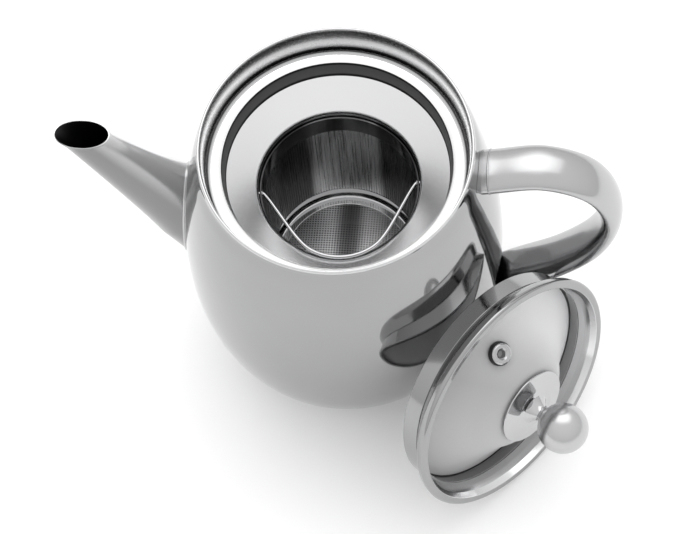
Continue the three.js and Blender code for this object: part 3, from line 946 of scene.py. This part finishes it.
# ---- lid ----
def lid_matrix():
    """The lid's place: its own +Z is the lid's outside, and its lower edge rests on the table."""
    level = math.cos(LID_LEAN)
    face = Vector((level * math.cos(LID_FACING), level * math.sin(LID_FACING), math.sin(LID_LEAN)))
    side = Vector((0, 0, 1)).cross(face).normalized()
    up = face.cross(side)
    ring_foot = -1.6 * face.z - LID_STAND_R * up.z
    skirt_foot = -LID_DEPTH * face.z - SKIRT_R * up.z
    stand = 0.05 - min(ring_foot, skirt_foot)
    place = Matrix((side, up, face)).transposed().to_4x4()
    place.translation = Vector((*LID_AT, stand)) * MM
    return place


LID = lid_matrix()


def lid_piece(name, outline, slot, material, node, sides=SIDES, sharp=35, local=None):
    place = LID if local is None else LID @ local
    return piece(name, *turned(outline, sides), "lid", slot, material, node, sharp=sharp, place=place)


def make_lid_ring():
    inside = SKIRT_R - 1.3
    ring = [
        (LID_R - 3.7, 0, 0.5), (LID_R, 0, 1.5), (LID_R - 0.9, -3.6, 2.5), (SKIRT_R, -7.8, 0.3),
        (inside, -7.8, 0.2), (46.2, -5, 2), (47.0, -2.6, 2),
    ]
    bezel = lid_piece("lid_bezel", rounded(ring, steps=8), "polished_steel", BEZEL, "lid_ring")
    brighten_inside(bezel)
    top = -8.05
    skirt = [(inside, -LID_DEPTH, 0.4), (SKIRT_R, -LID_DEPTH, 0.4), (SKIRT_R, top, 0.3), (inside, top, 0.2)]
    lid_piece("lid_wall", rounded(skirt), "polished_steel", BEZEL, "lid_skirt")


def brighten_inside(bezel):
    """The ring's inner wall gets a lighter steel than its outside: a painted highlight."""
    bezel.data.materials.append(BEZEL_INNER_HIGHLIGHT)
    axis = LID.col[2].to_3d()
    for face in bezel.data.polygons:
        out = face.center - LID.translation
        out -= axis * out.dot(axis)
        if face.normal.dot(out.normalized()) < -0.5:
            face.material_index = 1


GLASS_OUTLINE = [(GLASS_R, -12.6), (36.4, -7.9), (26, -0.1), (17, 7.3), (3.4, 9.6)]
DISC_Z = GLASS_OUTLINE[-1][1] + 0.3


def make_glass():
    outer = [tuple(map(float, p)) for p in catmull(GLASS_OUTLINE, 10)]
    inner = [(r, z - GLASS_T) for r, z in reversed(outer)]
    lid_piece("lid_dome", outer + inner, "glass", GLASS, "lid_glass", sharp=60)
    inside, outside = GLASS_R - 1.5, GLASS_R + 0.2
    foot, top = -15.4, -14.7
    seal = [(inside, foot, 0.2), (outside, foot, 0.2), (outside, top, 0.2), (inside, top, 0.2)]
    lid_piece("glass_seal", rounded(seal), "seal", SEAL, "lid_seal")


def make_knob_disc():
    plate = [
        (3.4, DISC_Z, 0), (DISC_R, DISC_Z - 1.2, 0.2), (DISC_R, DISC_Z - 0.4, 0.4),
        (9, DISC_Z + 0.9, 6), (3.4, DISC_Z + 1.15, 0),
    ]
    lid_piece("knob_plate", rounded(plate), "polished_steel", POLISHED, "knob_disc", 128)


def make_knob_stem():
    """Wide at the disc, narrow in the middle, and a little wider again under the ball."""
    foot = DISC_Z + 1.02
    top = BALL_Z - BALL_R * 0.92
    stem = [(2.4, foot, 0)] + [
        (3.1 + 3.1 * (1 - t) ** 2.6 + 0.5 * t**6, foot + (top - foot) * t, 0)
        for t in (k / 24 for k in range(25))
    ] + [(2.4, top, 0)]
    lid_piece("knob_neck", rounded(stem, steps=8), "polished_steel", POLISHED, "knob_stem", 96)


def make_knob_ball():
    """A sphere with a small flat where the stem joins it."""
    steps = 64
    start = math.asin(-0.9)
    ball = [(0, BALL_Z - BALL_R * 0.9)]
    for k in range(steps):
        a = start + (math.pi / 2 - start) * k / steps
        ball.append((BALL_R * math.cos(a), BALL_Z + BALL_R * math.sin(a)))
    ball.append((0, BALL_Z + BALL_R))
    lid_piece("knob", ball, "polished_steel", KNOB, "knob_ball", 128)


def make_knob_screw():
    """The screw comes up through a washer under the glass and ends in the ball."""
    top = DISC_Z - 0.3 - GLASS_T - 1.2
    head, end = top - 1.3, BALL_Z - 9.5
    cap = [(0, head - 2.2, 0), (3.4, head - 2.2, 0.8), (4, head - 0.4, 0.2), (4, head, 0.1)]
    shank = [(2.1, head, 0.1), (2.1, end, 0.2), (0, end, 0)]
    screw = rounded(cap + shank, False)
    lid_piece("knob_screw_head", screw, "satin_steel", SATIN, "knob_screw", 64)
    washer = [(2.5, top - 1, 0.2), (9, top - 1, 0.3), (9, top, 0.3), (2.5, top, 0.2)]
    lid_piece("knob_plate_under", rounded(washer), "satin_steel", SATIN, "knob_washer", 96)


def make_vent():
    """The vent stands square on the dome, straight up from the knob."""
    dome_slope = math.atan2(7.5, 10.4)
    local = (
        Matrix.Rotation(math.pi / 2, 4, "Z") @ Matrix.Translation(Vector((VENT_R, 0, VENT_Z)) * MM)
        @ Matrix.Rotation(dome_slope, 4, "Y")
    )
    gasket = [
        (2.5, 1.9, 0.1), (4.7, 1.9, 0.4), (4.9, 0.2, 0.2),
        (3.1, 0.2, 0.1), (3.1, -3.2, 0.1), (2.5, -3.2, 0.1),
    ]
    lid_piece("vent_seal", rounded(gasket), "black_silicone", BLACK, "vent_gasket", 64, local=local)
    ring = [
        (1.6, 2.3, 0.3), (2.5, 3.1, 0.5), (3.6, 3.1, 0.4), (4.3, 2.6, 0.3), (4.3, 2.0, 0.2), (2.3, 2.0, 0.1),
        (2.3, -3.6, 0.1), (1.6, -3.6, 0.1),
    ]
    lid_piece("vent_eyelet", rounded(ring), "polished_steel", SOFT, "vent_grommet", 64, local=local)


make_lid_ring()
make_glass()
make_knob_disc()
make_knob_stem()
make_knob_ball()
make_knob_screw()
make_vent()


# ---- stage: floor, light and camera ----
def make_floor():
    size, under = 6.0, -0.0002
    corners = [(x * size, y * size, under) for x, y in ((-1, -1), (1, -1), (1, 1), (-1, 1))]
    mesh = bpy.data.meshes.new("floor")
    mesh.from_pydata(corners, [], [(0, 1, 2, 3)])
    floor = bpy.data.objects.new("floor", mesh)
    bpy.context.scene.collection.objects.link(floor)
    material, tree, shader = nodes_of("pale_floor")
    pale = tinted(tree, noise(tree, 3, 2), (0.95, 0.95, 0.95), (0.97, 0.97, 0.97))
    tree.links.new(pale, shader.inputs["Base Color"])
    shader.inputs["Emission Color"].default_value = (1, 1, 1, 1)
    shader.inputs["Emission Strength"].default_value = 0.07
    shader.inputs["Roughness"].default_value = 0.7
    shader.inputs["Specular IOR Level"].default_value = 0.1
    mesh.materials.append(material)


def area_light(name, place, target, size, energy):
    data = bpy.data.lights.new(name, "AREA")
    data.shape = "RECTANGLE"
    data.size, data.size_y = size
    data.energy = energy
    light = bpy.data.objects.new(name, data)
    light.location = place
    light.rotation_euler = (Vector(target) - Vector(place)).to_track_quat("-Z", "Y").to_euler()
    bpy.context.scene.collection.objects.link(light)


def make_world():
    """A bright room, a little darker below, with one soft lobe high behind the pot."""
    world = bpy.data.worlds.new("studio")
    bpy.context.scene.world = world
    world.use_nodes = True
    tree = world.node_tree
    background = tree.nodes["Background"]
    coords = tree.nodes.new("ShaderNodeTexCoord")
    split = tree.nodes.new("ShaderNodeSeparateXYZ")
    tree.links.new(coords.outputs["Generated"], split.inputs["Vector"])
    stops = [(0.0, 0.8), (0.1, 0.88), (0.45, 1.0), (0.75, 1.08), (1.0, 1.08)]
    room = graded(tree, split.outputs["Z"], 0.0, 1.0, stops, blue=1.0)
    towards = Vector((-0.1, 0.5, 0.86)).normalized()
    lobe = vector(tree, "DOT_PRODUCT", coords.outputs["Generated"], towards)["Value"]
    soft = mapped(tree, lobe, 0.78, 0.98, 0.0, 0.8)
    soft.node.interpolation_type = "SMOOTHSTEP"
    total = vector(tree, "ADD", room, soft)["Vector"]
    tree.links.new(total, background.inputs["Color"])
    background.inputs["Strength"].default_value = 1.0


def make_camera():
    """The photograph's view: long lens, looking steeply down with a slight roll."""
    elevation, yaw, pitch, roll = (math.radians(a) for a in (61.38, 0.2, -3.07, -6.04))
    distance = 16 * RIM_R * MM
    turn = Matrix.Rotation(math.radians(10), 3, "Z")
    offset = turn @ Vector((0, -distance * math.cos(elevation), distance * math.sin(elevation)))
    forward = -offset.normalized()
    right = turn @ Vector((1, 0, 0))
    up = right.cross(forward)
    axes = Matrix((right, up, -forward)).transposed()
    axes = Matrix.Rotation(yaw, 3, up) @ axes
    axes = Matrix.Rotation(pitch, 3, axes.col[0]) @ axes
    axes = Matrix.Rotation(roll, 3, axes.col[2]) @ axes
    data = bpy.data.cameras.new("camera")
    data.lens = 118.6
    data.sensor_width = 36
    data.clip_start = 0.01
    camera = bpy.data.objects.new("camera", data)
    place = axes.to_4x4()
    place.translation = offset + Vector((0, 0, RIM_Z * MM))
    camera.matrix_world = place
    bpy.context.scene.collection.objects.link(camera)
    bpy.context.scene.camera = camera


make_floor()
area_light("top_softbox", (0.0, 0.7, 1.5), (0, 0, 0.1), (2.0, 1.2), 4.0)
make_world()
make_camera()
bpy.context.scene.view_settings.view_transform = "Standard"
